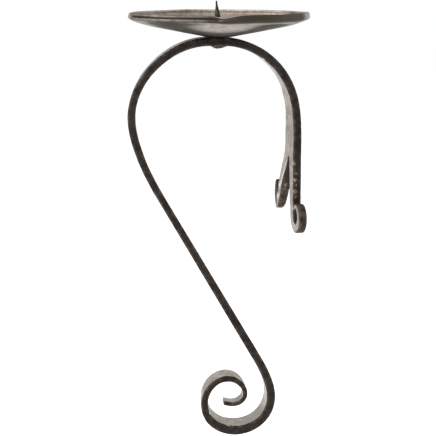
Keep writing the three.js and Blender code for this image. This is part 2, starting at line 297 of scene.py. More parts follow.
def arris(data):
    """1 on the sharp outer corners of a mesh, 0 on its flats and hollows."""
    points = read_points(data)
    normals = read_normals(data)
    bulge = np.einsum("ij,ij->i", points - neighbour_mean(data, points), normals)
    for _ in range(3):
        bulge = neighbour_mean(data, bulge)
    return np.clip(bulge / ARRIS_BULGE, 0, 1)


def blows(points, normals, count, radius, depth, seed):
    """How deep seeded hammer blows sink each point. A blow reaches only faces that look its way."""
    draw = np.random.RandomState(seed)
    sunk = np.zeros(len(points))
    for pick in draw.randint(0, len(points), count):
        size = radius * draw.uniform(*BLOW_SIZES)
        strength = depth * draw.uniform(*BLOW_STRENGTHS)
        away = np.linalg.norm(points - points[pick], axis=1) / size
        near = away < 1
        facing = np.clip(normals[near] @ normals[pick], 0, 1) ** 2
        sunk[near] = np.maximum(sunk[near], strength * facing * (1 - away[near] ** 2) ** 1.5)
    return sunk


def ripple(points, size, octaves):
    """Smooth noise at a size in metres, -1 to 1."""
    return np.array([noise.fractal(Vector(point) / size, 1.0, 2.0, octaves) for point in points])


# ---- Node helpers ----

def new_material(name):
    material = bpy.data.materials.new(name)
    material.use_nodes = True
    tree = material.node_tree
    tree.nodes.clear()
    output = tree.nodes.new("ShaderNodeOutputMaterial")
    shader = tree.nodes.new("ShaderNodeBsdfPrincipled")
    tree.links.new(shader.outputs["BSDF"], output.inputs["Surface"])
    return material, tree, shader


def set_input(tree, socket, value):
    if isinstance(value, bpy.types.NodeSocket):
        tree.links.new(value, socket)
    elif socket.type == "RGBA" and len(value) == 3:
        socket.default_value = (*value, 1.0)
    else:
        socket.default_value = value


def object_coordinates(tree):
    return tree.nodes.new("ShaderNodeTexCoord").outputs["Object"]


def clouds(tree, vector, scale, detail, roughness, distortion=0.0):
    node = tree.nodes.new("ShaderNodeTexNoise")
    node.inputs["Scale"].default_value = scale
    node.inputs["Detail"].default_value = detail
    node.inputs["Roughness"].default_value = roughness
    node.inputs["Distortion"].default_value = distortion
    tree.links.new(vector, node.inputs["Vector"])
    return node.outputs["Fac"]


def cells(tree, vector, scale):
    node = tree.nodes.new("ShaderNodeTexVoronoi")
    node.inputs["Scale"].default_value = scale
    tree.links.new(vector, node.inputs["Vector"])
    return node.outputs["Distance"]


def band(tree, value, low, high, to_low=0.0, to_high=1.0):
    """Moves a range onto another, clamped, with soft ends."""
    node = tree.nodes.new("ShaderNodeMapRange")
    node.interpolation_type = "SMOOTHSTEP"
    node.inputs["From Min"].default_value = low
    node.inputs["From Max"].default_value = high
    node.inputs["To Min"].default_value = to_low
    node.inputs["To Max"].default_value = to_high
    tree.links.new(value, node.inputs["Value"])
    return node.outputs["Result"]


def maths(tree, operation, first, second):
    node = tree.nodes.new("ShaderNodeMath")
    node.operation = operation
    set_input(tree, node.inputs[0], first)
    set_input(tree, node.inputs[1], second)
    return node.outputs["Value"]


def blend_colour(tree, share, first, second):
    node = tree.nodes.new("ShaderNodeMix")
    node.data_type = "RGBA"
    set_input(tree, node.inputs["Factor"], share)
    set_input(tree, node.inputs["A"], first)
    set_input(tree, node.inputs["B"], second)
    return node.outputs["Result"]


def blend_value(tree, share, first, second):
    node = tree.nodes.new("ShaderNodeMix")
    node.data_type = "FLOAT"
    set_input(tree, node.inputs[0], share)
    set_input(tree, node.inputs[2], first)
    set_input(tree, node.inputs[3], second)
    return node.outputs[0]


def surface_value(tree, name):
    node = tree.nodes.new("ShaderNodeAttribute")
    node.attribute_name = name
    return node.outputs["Fac"]


def raise_surface(tree, height, distance, strength, under=None):
    node = tree.nodes.new("ShaderNodeBump")
    node.inputs["Strength"].default_value = strength
    node.inputs["Distance"].default_value = distance
    tree.links.new(height, node.inputs["Height"])
    if under is not None:
        tree.links.new(under, node.inputs["Normal"])
    return node.outputs["Normal"]


def frayed(tree, share, mottle, amount):
    """A share that the mottle breaks up, most where it is half."""
    uneven = maths(tree, "MULTIPLY", maths(tree, "SUBTRACT", mottle, 0.5), amount)
    return maths(tree, "ADD", share, uneven)


def tint(colour, factor):
    return tuple(min(1.0, channel * factor) for channel in colour[:3])


# ---- Finishes ----

def forged_bar_finish(scale_colour, burnish_and_sheen_colour):
    """Dark scale on the edges and burnished steel on the wide faces, whose lightness is partly painted
    sheen, with worn arrises and scale pits.
    """
    material, tree, shader = new_material("forged_bar_finish")
    vector = object_coordinates(tree)
    patches = clouds(tree, vector, 45, 5, 0.6, 0.4)
    mottle = clouds(tree, vector, 190, 6, 0.65)
    fine = clouds(tree, vector, 1300, 3, 0.6)
    sparse = band(tree, mottle, 0.60, 0.50)
    pits = maths(tree, "MAXIMUM", band(tree, cells(tree, vector, 520), 0.10, 0.34), sparse)

    scale = blend_colour(tree, band(tree, mottle, 0.35, 0.68),
                         tint(scale_colour, 0.55), tint(scale_colour, 1.75))
    scale = blend_colour(tree, band(tree, patches, 0.48, 0.72), scale, tint(scale_colour, 1.5))
    rubbed = maths(tree, "MULTIPLY", surface_value(tree, "rubbed"), band(tree, mottle, 0.30, 0.62))
    scale = blend_colour(tree, rubbed, scale, tint(scale_colour, 3.4))
    flake = surface_value(tree, "flake")
    scale = blend_colour(tree, band(tree, flake, 0.0, 0.4), scale, (0.060, 0.040, 0.028))
    chipped = maths(tree, "MULTIPLY", band(tree, flake, 0.25, 0.9), band(tree, mottle, 0.38, 0.58))
    scale = blend_colour(tree, chipped, scale, (0.265, 0.222, 0.197))
    bright = blend_colour(tree, band(tree, mottle, 0.38, 0.62),
                          tint(burnish_and_sheen_colour, 0.72), tint(burnish_and_sheen_colour, 1.16))
    bright = blend_colour(tree, band(tree, patches, 0.50, 0.78), bright, tint(burnish_and_sheen_colour, 0.62))
    hollow = maths(tree, "MULTIPLY", surface_value(tree, "hollow"), band(tree, mottle, 0.34, 0.60))
    bright = blend_colour(tree, maths(tree, "MULTIPLY", hollow, 0.55), bright, tint(burnish_and_sheen_colour, 0.3))

    # Wide faces painted lighter than the edges: partly burnish, partly painted sheen.
    mask = band(tree, frayed(tree, surface_value(tree, "burnish_and_sheen"), mottle, 0.7), 0.38, 0.72)
    wear = band(tree, surface_value(tree, "arris"), 0.35, 0.95)
    worn = maths(tree, "MULTIPLY", wear, band(tree, mottle, 0.40, 0.62))
    mask_worn = maths(tree, "MAXIMUM", mask, maths(tree, "MULTIPLY", worn, 0.05))
    colour = blend_colour(tree, mask_worn, scale, bright)
    pitted = blend_colour(tree, pits, tint(scale_colour, 0.45), colour)
    set_input(tree, shader.inputs["Base Color"], pitted)
    shader.inputs["Specular IOR Level"].default_value = 0.3
    set_input(tree, shader.inputs["Metallic"], blend_value(tree, mask_worn, 0.4, 1.0))
    rough_scale = band(tree, mottle, 0.3, 0.7, 0.40, 0.58)
    rough_bright = band(tree, mottle, 0.3, 0.7, 0.27, 0.42)
    set_input(tree, shader.inputs["Roughness"], blend_value(tree, mask, rough_scale, rough_bright))
    normal = raise_surface(tree, mottle, 0.35 * MM, 0.45)
    normal = raise_surface(tree, pits, 0.22 * MM, 0.5, normal)
    normal = raise_surface(tree, fine, 0.05 * MM, 0.35, normal)
    set_input(tree, shader.inputs["Normal"], normal)
    return material


def pan_finish(steel_colour, tarnish_and_shade_colour):
    """Hammered sheet steel, rubbed bright, with brown tarnish where the rubbing missed mixed with painted
    shade and painted dark reflection in one mask, and painted shade along the crease.
    """
    material, tree, shader = new_material("pan_finish")
    vector = object_coordinates(tree)
    circle = tree.nodes.new("ShaderNodeCombineXYZ")
    set_input(tree, circle.inputs["X"], surface_value(tree, "ring"))
    set_input(tree, circle.inputs["Y"], surface_value(tree, "turn"))
    rub = clouds(tree, circle.outputs["Vector"], 1.0, 4, 0.6)
    patches = clouds(tree, vector, 38, 5, 0.6, 0.6)
    mottle = clouds(tree, vector, 230, 6, 0.66)
    fine = clouds(tree, vector, 1100, 3, 0.6)
    sparse = band(tree, mottle, 0.60, 0.52)
    specks = maths(tree, "MAXIMUM", band(tree, cells(tree, vector, 240), 0.05, 0.16), sparse)
    crease = band(tree, surface_value(tree, "crease"), 0.25, 0.75)

    steel = blend_colour(tree, band(tree, mottle, 0.40, 0.60),
                         tint(steel_colour, 0.60), tint(steel_colour, 1.42))
    steel = blend_colour(tree, band(tree, rub, 0.35, 0.75), tint(steel_colour, 0.8), steel)
    steel = blend_colour(tree, band(tree, patches, 0.52, 0.80), steel, (0.40, 0.33, 0.29))
    blotches = clouds(tree, vector, 95, 3, 0.5, 1.2)
    stained = maths(tree, "MULTIPLY", band(tree, blotches, 0.50, 0.62), 0.55)
    steel = blend_colour(tree, stained, steel, tint(steel_colour, 0.45))
    # The dark mask mixes tarnish with painted shade and painted dark reflection.
    mask = band(tree, frayed(tree, surface_value(tree, "tarnish"), mottle, 0.55), 0.10, 0.90)
    colour = blend_colour(tree, mask, steel, tarnish_and_shade_colour)
    # Painted shade along the crease under the lip.
    colour = blend_colour(tree, crease, colour, tint(tarnish_and_shade_colour, 0.3))
    colour = blend_colour(tree, specks, tint(tarnish_and_shade_colour, 0.8), colour)
    set_input(tree, shader.inputs["Base Color"], colour)
    set_input(tree, shader.inputs["Metallic"], blend_value(tree, mask, 1.0, 0.75))
    rough = band(tree, mottle, 0.3, 0.7, 0.40, 0.56)
    set_input(tree, shader.inputs["Roughness"], blend_value(tree, mask, rough, 0.5))
    normal = raise_surface(tree, mottle, 0.4 * MM, 0.35)
    normal = raise_surface(tree, rub, 0.06 * MM, 0.3, normal)
    normal = raise_surface(tree, specks, 0.2 * MM, 0.5, normal)
    normal = raise_surface(tree, fine, 0.04 * MM, 0.3, normal)
    set_input(tree, shader.inputs["Normal"], normal)
    return material


def black_scale_finish(name, colour, metallic, rough_low, rough_high):
    """Rough scale straight from the fire, with rubbed arrises."""
    material, tree, shader = new_material(name)
    vector = object_coordinates(tree)
    mottle = clouds(tree, vector, 420, 6, 0.65)
    fine = clouds(tree, vector, 1900, 3, 0.6)
    pits = band(tree, cells(tree, vector, 900), 0.08, 0.32)
    wear = maths(tree, "MULTIPLY", surface_value(tree, "arris"), band(tree, mottle, 0.42, 0.62))
    body = blend_colour(tree, band(tree, mottle, 0.34, 0.7), tint(colour, 0.6), tint(colour, 1.9))
    body = blend_colour(tree, maths(tree, "MULTIPLY", wear, 0.5), body, (0.22, 0.20, 0.18))
    set_input(tree, shader.inputs["Base Color"], blend_colour(tree, pits, tint(colour, 0.5), body))
    set_input(tree, shader.inputs["Roughness"], band(tree, mottle, 0.3, 0.7, rough_low, rough_high))
    shader.inputs["Metallic"].default_value = metallic
    normal = raise_surface(tree, mottle, 0.25 * MM, 0.5)
    normal = raise_surface(tree, pits, 0.12 * MM, 0.5, normal)
    normal = raise_surface(tree, fine, 0.03 * MM, 0.4, normal)
    set_input(tree, shader.inputs["Normal"], normal)
    return material


# ---- The forged bar ----

# Nicks in the bar's edges: place, radius and depth in millimetres.
NICKS = (
    ((-69.1, -9.2, -199.4), 2.2, 1.1),
    ((-54.6, -9.6, -210.2), 2.8, 1.0),
    ((-29.0, -10.0, 65.4), 2.4, 0.8),
    ((-6.5, -10.5, -24.0), 2.0, 0.6),
    ((-3.0, -10.5, -14.0), 2.2, 0.5),
    ((-38.0, -10.5, -147.0), 2.6, 0.5),
    ((-118.0, -10.5, 38.0), 3.0, 0.5),
)

# Spots on the prongs' edges where the scale has flaked: place and radius in millimetres.
FLAKES = (
    ((-5.1, 14.9, -30.6), 1.5),
    ((-5.2, 15.7, -32.6), 1.8),
    ((-5.2, 16.3, -34.4), 1.6),
    ((-5.1, -10.0, -32.1), 2.5),
    ((-4.4, -10.0, -36.5), 1.3),
    ((-4.9, -10.0, -23.4), 1.7),
    ((-4.2, -10.0, -18.9), 1.3),
    ((-5.6, -10.0, -11.5), 1.8),
    ((-4.0, -10.0, -27.5), 1.1),
)

# The far prong's painted light strip, burnished steel whose outline follows where light falls on the prong,
# as (height, near side, far side) in millimetres, from its end up.
FAR_PAINTED_LIGHT_STRIP = (
    (-50.5, 26, 32),
    (-48, 23.5, 31),
    (-44, 22.5, 28),
    (-38, 20, 24),
    (-33, 18.5, 22),
    (-28, 17, 22),
    (-24, 13.5, 26),
    (-11, 3.5, 26),
)

# The strip turns the prong's inner corner as far as this X, at two heights. Its sides fade over STRIP_FADE.
STRIP_EDGE_HEIGHTS = (-24 * MM, -16 * MM)
STRIP_EDGE = (-6.9 * MM, -6.1 * MM)
STRIP_EDGE_FADE = 0.3 * MM
STRIP_FADE = 0.5 * MM

# Zones of the bar, as soft steps (axis, from, to) in millimetres in the part's frame.
ARM_SIDE = ((X, -14, -11),)
FORK = ((Z, 7, 2), *ARM_SIDE)
FAR_FRONT = ((Y, 2, 4), (X, -3, -4.5), (Z, -8, -12), *FORK)
NEAR_CURL = ((Z, -37, -42), (Y, 2, 0), *ARM_SIDE)
FAR_CURL = ((Z, -31, -38), (Y, 2, 4), *ARM_SIDE)
TWISTED_ARM = ((Z, -30, -8), (Z, 54, 36), (X, -30, -24))
TWISTED_SCROLL = ((Z, -200, -186), (Z, -160, -165), (X, -38.5, -42))

# The hand twist that is added to the solid's: slopes across the bar, which start at its near edge.
NEAR_EDGE = -10 * MM
ARM_TWIST = 0.055
SCROLL_TWIST = 0.06

# The bar's surface: the blows' seed, the share of smoothing, the depth that is given back for it, and the
# waves as (depth, size, from, to).
BAR_SEED = 11
SMOOTHING = 0.55
GIVEN_BACK = 0.03 * MM
BAR_WAVES = ((0.06 * MM, 11 * MM, -0.3, 0.6), (0.04 * MM, 3.2 * MM, -0.4, 0.7))

# A flake's spot: its reach and the breaks of its edge in radii, its contrast, and the breaks' size.
FLAKE_REACH = 1.6
FLAKE_BREAK = 0.6
FLAKE_CONTRAST = 1.6
FLAKE_GRAIN = 1 * MM


def remeshed_copy(node, grain):
    """A merged copy of a CAD node, remeshed into even facets that can take hammer marks."""
    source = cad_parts[node]
    bm = bmesh.new()
    bm.from_mesh(source.data)
    bmesh.ops.remove_doubles(bm, verts=bm.verts, dist=WELD)
    data = bpy.data.meshes.new("blank")
    bm.to_mesh(data)
    bm.free()
    blank = bpy.data.objects.new("blank", data)
    bpy.context.collection.objects.link(blank)
    remesh = blank.modifiers.new("even_facets", "REMESH")
    remesh.mode = "VOXEL"
    remesh.voxel_size = grain
    remesh.adaptivity = 0.0
    bpy.context.view_layer.update()
    shaped = bpy.data.meshes.new_from_object(
        blank.evaluated_get(bpy.context.evaluated_depsgraph_get()))
    bpy.data.objects.remove(blank)
    return shaped


def twist_by_hand(points):
    """Turns the far edge of the arm and of the scroll's top a little more than the solid's twist."""
    across = points[:, Y] - NEAR_EDGE
    points[:, X] -= ARM_TWIST * across * within(points, TWISTED_ARM)
    points[:, Z] += SCROLL_TWIST * across * within(points, TWISTED_SCROLL)


def forge_surface(data, settings):
    """Hammer marks, uneven faces and nicks, all sunk into the bar, and the last twist by hand."""
    points = read_points(data)
    points = points * (1 - SMOOTHING) + neighbour_mean(data, points) * SMOOTHING
    write_points(data, points)
    normals = read_normals(data)
    sunk = blows(points, normals, settings.blow_count, settings.blow_radius, settings.blow_depth, BAR_SEED)
    for depth, size, start, end in BAR_WAVES:
        sunk += depth * smooth_step(start, end, ripple(points, size, 2))
    write_attribute(data, "hollow", np.clip(sunk / (2 * settings.blow_depth), 0, 1))
    sunk -= GIVEN_BACK
    for place_mm, radius, depth in NICKS:
        away = np.linalg.norm(points - np.array(place_mm) * MM, axis=1) / (radius * MM)
        sunk += depth * MM * np.clip(1 - away ** 2, 0, 1) ** 1.5
    points = points - normals * sunk[:, None]
    twist_by_hand(points)
    write_points(data, points)


def solid_normals(data, node):
    """For each point, the normal of the nearest face of the CAD solid."""
    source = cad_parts[node].data
    tree = BVHTree.FromPolygons([vert.co for vert in source.vertices],
                                [tuple(face.vertices) for face in source.polygons])
    return np.array([tree.find_nearest(Vector(point))[1] for point in read_points(data)])


def painted_light_strip_share(points):
    """1 on the far prong's painted light strip, which runs from its split down to the end of its curl."""
    heights, near_sides, far_sides = np.array(FAR_PAINTED_LIGHT_STRIP).T * MM
    past_near = points[:, Y] - np.interp(points[:, Z], heights, near_sides)
    past_far = points[:, Y] - np.interp(points[:, Z], heights, far_sides)
    past_edge = points[:, X] - np.interp(points[:, Z], STRIP_EDGE_HEIGHTS, STRIP_EDGE)
    share = smooth_step(-STRIP_FADE, STRIP_FADE, past_near) * smooth_step(STRIP_FADE, -STRIP_FADE, past_far)
    return share * smooth_step(STRIP_EDGE_FADE, -STRIP_EDGE_FADE, past_edge)


def burnish_and_sheen_share(data):
    """1 on the bar's wide faces, which were rubbed bright and are painted lighter partly as sheen, and 0 on
    its edges.
    """
    points = read_points(data)
    normals = solid_normals(data, "scroll_bar")
    in_fork = within(points, FORK)
    on_arch = np.hypot(normals[:, X], normals[:, Z])
    on_fork = np.abs(normals[:, X])
    looks_wide = on_arch * (1 - in_fork) + on_fork * in_fork
    share = neighbour_mean(data, neighbour_least(data, smooth_step(0.76, 0.88, looks_wide)))
    return share + (painted_light_strip_share(points) - share) * within(points, FAR_FRONT)


def rubbed_share(data):
    """1 on the rolled curls, where handling has rubbed the scale to a lighter grey."""
    points = read_points(data)
    return np.maximum(within(points, NEAR_CURL), within(points, FAR_CURL))


def flake_share(data):
    """1 where a flake of scale has come off a prong's edge and left a lighter spot."""
    points = read_points(data)
    share = np.zeros(len(points))
    for place_mm, radius in FLAKES:
        away = np.linalg.norm(points - np.array(place_mm) * MM, axis=1) / (radius * MM)
        near = np.flatnonzero(away < FLAKE_REACH)
        broken = away[near] + FLAKE_BREAK * ripple(points[near], FLAKE_GRAIN, 3)
        share[near] = np.maximum(share[near], np.clip(FLAKE_CONTRAST * (1 - broken), 0, 1))
    return share


class CANDLE_OT_forged_bar(bpy.types.Operator):
    """Make the forged bar with its fork, arch, tail and scroll"""

    bl_idname = "candle_bracket.forged_bar"
    bl_label = "Forged bar"

    def execute(self, context):
        settings = context.scene.bracket_bar
        data = remeshed_copy("scroll_bar", settings.grain)
        write_attribute(data, "burnish_and_sheen", burnish_and_sheen_share(data))
        forge_surface(data, settings)
        data.shade_smooth()
        write_attribute(data, "arris", arris(data))
        write_attribute(data, "flake", flake_share(data))
        write_attribute(data, "rubbed", rubbed_share(data))
        finish = forged_bar_finish(settings.scale_colour, settings.burnish_and_sheen_colour)
        add_piece("forged_bar", data, "scroll_bar", finish)
        return {"FINISHED"}


# ---- The pan ----

# The hole that the shank passes, and the rounding where the floor turns into the cone.
SHANK_HOLE = 3.2 * MM
FLOOR_ROUNDING = 1 * MM
ROUNDING_RISE = 0.06 * MM

# The lip's crown: two points across the sheet's edge, as (inwards, upwards) in sheet thicknesses.
LIP_CROWN = ((0.2, 0.16), (0.75, 0.12))
PAN_FACETS = 300

# The planishing marks: number, radius, depth and seed. They leave the floor flat.
PLANISHING = (620, 8 * MM, 0.17 * MM, 23)
PLANISHED_FROM = 6 * MM

# The crease under the lip, whose height is taken from the rim down.
CREASE_DROP = 2.1 * MM
CREASE_WIDTH = 1.0 * MM
CREASE_DEPTH = 0.45 * MM
CREASE_RADII = (60 * MM, 63 * MM)

# The rim's waves, as (depth, waves per radian, start), and how far below the rim they and the dent reach.
RIM_WAVES = ((0.175 * MM, 3.1, 0.8), (0.11 * MM, 7.3, 0.0))
WAVE_REACH = 9 * MM
DENT_REACH = 8 * MM
DENT_WIDTH = 7 * MM
DENT_DEPTH = 1.5 * MM
DENT_SPREAD = 0.5 * MM

# Painted dark bands on the rim: a painted dark reflection along its right, and painted shade that dims the
# lip's highlight on its left, as (turns where it begins, turns where it ends, radii where it begins,
# strength). Turns are degrees from the pan's front, and radii are in millimetres.
RIM_PAINTED_DARK = (
    ((0, 8), (80, 54), (61.2, 62.8), 1.1),
    ((2, -2), (-82, -70), (63.0, 64.0), 0.6),
)

# Darker wedges underneath, as (middle turn, width, radii where it begins, radii where it ends, strength).
WEDGES = (
    (-37, 19, (22, 36), (64.5, 61), 1.25),
    (43, 17, (22, 36), (62, 57), 1.3),
)

# The streaks of the rubbing: how many per metre of radius, and per radian round the pan.
RUB_ACROSS = 700
RUB_ROUND = 1.4


def arc_points(start, radius, first, last, steps):
    """Points of an arc that starts at a point, with headings in radians from level."""
    points = []
    for step in range(1, steps + 1):
        heading = first + (last - first) * step / steps
        points.append((
            start[0] + radius * (math.sin(heading) - math.sin(first)),
            start[1] + radius * (math.cos(first) - math.cos(heading)),
            heading,
        ))
    return points


def straight_points(start, end, heading, steps):
    """Points of a straight stretch, without its start, all with the same heading."""
    return [(start[0] + (end[0] - start[0]) * step / steps,
             start[1] + (end[1] - start[1]) * step / steps,
             heading) for step in range(1, steps + 1)]


def pan_underside(settings, hole):
    """The underside from the shank hole to the top of the lip, as (radius, height, heading)."""
    cone = settings.cone_angle
    flare = settings.flare_angle
    points = [(hole, 0.0, 0.0)]
    points += straight_points(points[-1], (settings.floor_radius - FLOOR_ROUNDING, 0.0), 0.0, 5)
    rise = (settings.cone_radius - settings.floor_radius) * math.tan(cone)
    points.append((settings.floor_radius, ROUNDING_RISE, cone / 2))
    points += straight_points((settings.floor_radius, 0.0), (settings.cone_radius, rise), cone, 26)
    bend_start = settings.rim_radius - settings.rim_bend * (1 - math.sin(flare))
    flare_radius = (bend_start - settings.cone_radius) / (math.sin(flare) - math.sin(cone))
    points += arc_points(points[-1], flare_radius, cone, flare, 14)
    points += arc_points(points[-1], settings.rim_bend, flare, settings.lip_angle, 14)
    last = points[-1]
    end = (last[0] + settings.lip_height * math.cos(settings.lip_angle),
           last[1] + settings.lip_height * math.sin(settings.lip_angle))
    points += straight_points(last, end, settings.lip_angle, 7)
    return points


def spun(profile, steps, name):
    """Spins a closed profile of (radius, height) points round the vertical axis."""
    bm = bmesh.new()
    ring = [bm.verts.new((radius, 0.0, height)) for radius, height in profile]
    edges = [bm.edges.new((ring[index - 1], ring[index])) for index in range(len(ring))]
    bmesh.ops.spin(bm, geom=ring + edges, cent=(0, 0, 0), axis=(0, 0, 1), angle=math.tau,
                   steps=steps, use_merge=True, use_duplicate=False)
    return mesh_from(bm, name)


def view_turn(points):
    """Turn round the pan from its front, positive to the right of someone facing it."""
    turn = np.arctan2(points[:, 1], points[:, 0]) - FRONT_TURN
    return np.arctan2(np.sin(turn), np.cos(turn))


def bell(values, centre, width):
    return np.exp(-((values - centre) / width) ** 2)


def dent_degrees(settings):
    """The pouring dent's turn from the pan's front."""
    turn = settings.dent_turn - FRONT_TURN
    return math.degrees(math.atan2(math.sin(turn), math.cos(turn)))


def crease_shade_share(points, normals, radius, degrees, rim_height):
    """1 along the crease on the outside under the lip, full on the left and faint on the right; it sinks the
    crease and carries its painted shade.
    """
    outward = (normals[:, X] * points[:, X] + normals[:, Y] * points[:, Y]) / radius
    share = bell(points[:, Z], rim_height - CREASE_DROP, CREASE_WIDTH)
    share *= smooth_step(*CREASE_RADII, radius) * smooth_step(0.2, 0.6, outward)
    return share * (0.25 + 0.75 * smooth_step(3, -2, degrees) * smooth_step(-75, -62, degrees))


def wave_rim(points, degrees, rim_height):
    """Lowers the rim in uneven waves, but not on the right of its front."""
    turn = np.radians(degrees)
    drop = sum(depth * (1 + np.sin(count * turn + start)) for depth, count, start in RIM_WAVES)
    drop *= 1 - smooth_step(0, 20, degrees) * smooth_step(110, 85, degrees)
    points[:, Z] -= drop * smooth_step(rim_height - WAVE_REACH, rim_height, points[:, Z])


def press_dent(points, radius, degrees, rim_height, settings):
    """Presses the pouring dent down and a little outwards."""
    away = np.radians(degrees - dent_degrees(settings)) * radius
    press = bell(away, 0, DENT_WIDTH) * smooth_step(rim_height - DENT_REACH, rim_height, points[:, Z])
    points[:, :2] *= ((radius + DENT_SPREAD * press) / radius)[:, None]
    points[:, Z] -= DENT_DEPTH * press


def shape_pan(data, settings):
    """The planishing marks, the crease under the lip, the rim's waves and the pouring dent."""
    points = read_points(data)
    normals = read_normals(data)
    radius = np.hypot(points[:, X], points[:, Y])
    degrees = np.degrees(view_turn(points))
    rim_height = points[:, Z].max()
    sunk = blows(points, normals, *PLANISHING)
    sunk *= smooth_step(settings.floor_radius, settings.floor_radius + PLANISHED_FROM, radius)
    crease = crease_shade_share(points, normals, radius, degrees, rim_height)
    write_attribute(data, "crease", crease)
    sunk += CREASE_DEPTH * crease
    points = points - normals * sunk[:, None]
    wave_rim(points, degrees, rim_height)
    press_dent(points, radius, degrees, rim_height, settings)
    write_points(data, points)


def tarnish_and_shade_share(data, settings):
    """Where the pan is darker, as tarnish mixed with painted shade: painted dark bands by the rim, a painted
    shadow under the dent, darker round the hub, under the rim on the left, in two wedges underneath and at
    the back, and inside a little darker all round, with painted shade on the right and darker near the
    middle.
    """
    points = read_points(data)
    upward = read_normals(data)[:, Z]
    radius = np.hypot(points[:, X], points[:, Y]) / MM
    degrees = np.degrees(view_turn(points))
    share = smooth_step(42, 26, radius) * 0.85 + smooth_step(20, 12, radius) * 0.2
    share += smooth_step(95, 120, np.abs(degrees)) * 0.25
    share += bell(radius, 61.5, 2.6) * bell(degrees, -26, 26) * 0.4
    # The painted dark reflection on the rim's right and the painted shade on the lip's left.
    for begins, ends, radii, strength in RIM_PAINTED_DARK:
        along = smooth_step(*begins, degrees) * smooth_step(*ends, degrees)
        share += along * smooth_step(*radii, radius) * strength
    for middle, width, begins, ends, strength in WEDGES:
        outwards = smooth_step(*begins, radius) * smooth_step(*ends, radius)
        share += bell(degrees, middle, width) * outwards * strength
    # Painted shadow on the outside under the pouring dent; the top-facing crown is left bright.
    dent = bell(degrees, dent_degrees(settings), 7)
    share += dent * smooth_step(62.6, 63.8, radius) * smooth_step(0.4, 0.1, upward) * 1.2
    # Inside: a little darker all round, painted shade that makes the right of the front darker than the
    # left, and darker near the middle.
    inside = 0.25 + 0.18 * np.sin(np.radians(degrees)) + 0.4 * smooth_step(26, 9, radius)
    outside = np.clip(smooth_step(0.15, -0.15, upward) + smooth_step(62.5, 64.0, radius), 0, 1)
    return np.clip(share * outside + inside * (1 - outside), 0, 1)


class CANDLE_OT_drip_pan(bpy.types.Operator):
    """Make the dished pan with its lip, crease and pouring dent"""

    bl_idname = "candle_bracket.drip_pan"
    bl_label = "Drip pan"

    def execute(self, context):
        settings = context.scene.bracket_pan
        under = pan_underside(settings, SHANK_HOLE)
        sheet = settings.sheet
        upper = [(radius - sheet * math.sin(heading), height + sheet * math.cos(heading))
                 for radius, height, heading in under]
        lip = under[-1]
        crown = [(lip[0] - sheet * inwards, lip[1] + sheet * upwards) for inwards, upwards in LIP_CROWN]
        profile = [(radius, height) for radius, height, _ in under] + crown + upper[::-1]
        data = spun(profile, PAN_FACETS, "drip_pan_sheet")
        shape_pan(data, settings)
        points = read_points(data)
        write_attribute(data, "tarnish", tarnish_and_shade_share(data, settings))
        write_attribute(data, "ring", np.hypot(points[:, X], points[:, Y]) * RUB_ACROSS)
        write_attribute(data, "turn", np.abs(view_turn(points)) * RUB_ROUND)
        points += np.array(PAN_CENTRE)
        write_points(data, points)
        finish = pan_finish(settings.steel_colour, settings.tarnish_and_shade_colour)
        add_piece("hammered_pan", data, "drip_pan", finish)
        return {"FINISHED"}


# ---- The spike and the washer ----

# The peened head, from the bottom up, as (share of its height, share of its radius).
HEAD_PROFILE = ((0.0, 0.30), (0.03, 0.52), (0.12, 0.74), (0.28, 0.90), (0.5, 0.98), (0.75, 1.0),
                (0.93, 0.97), (1.0, 0.9))
HEAD_CLEARANCE = 0.05 * MM
HEAD_SEAT = 0.3 * MM
HEAD_SQUARENESS = 0.1
SHANK_STEP = 0.02 * MM

# The spike's foot stands just above the pan's floor, on a chamfer, and its tip is rounded.
FOOT_CLEARANCE = 0.05 * MM
FOOT_CHAMFER = 0.25 * MM
FOOT_SQUARENESS = 0.9
FOOT_START = 0.93
TIP_ROUNDING = 0.45 * MM
TIP_STEP = 0.18 * MM
SPIKE_STEPS = 34
WIDEST_CORNER = 1.24

# The spike's hammer marks: number, radius, depth and seed, and the peened head's dents and tilt.
SPIKE_BLOWS = (60, 2.6 * MM, 0.16 * MM, 5)
HEAD_FADE = 0.8 * MM
HEAD_DENTS = 0.25 * MM
HEAD_DENT_SIZE = 3.5 * MM
HEAD_TILT = 0.09

# The washer: its hole's clearance, its rounding in shares of its thickness, its facets and its tilt.
WASHER_CLEARANCE = 0.25 * MM
WASHER_ROUNDING = 0.28
WASHER_FACETS = 64
WASHER_TILT = 0.03


def rise_rings(bm, ring_edges, stations):
    """Extrudes a ring of edges upwards, one station (height, size) at a time, and returns the last ring."""
    for rise, size in stations:
        grown = bmesh.ops.extrude_edge_only(bm, edges=ring_edges)["geom"]
        verts = [item for item in grown if isinstance(item, bmesh.types.BMVert)]
        ring_edges = [item for item in grown if isinstance(item, bmesh.types.BMEdge)]
        ring_edges = [edge for edge in ring_edges if all(vert in verts for vert in edge.verts)]
        bmesh.ops.scale(bm, vec=(size, size, 1), verts=verts)
        bmesh.ops.translate(bm, vec=(0, 0, rise), verts=verts)
    return ring_edges


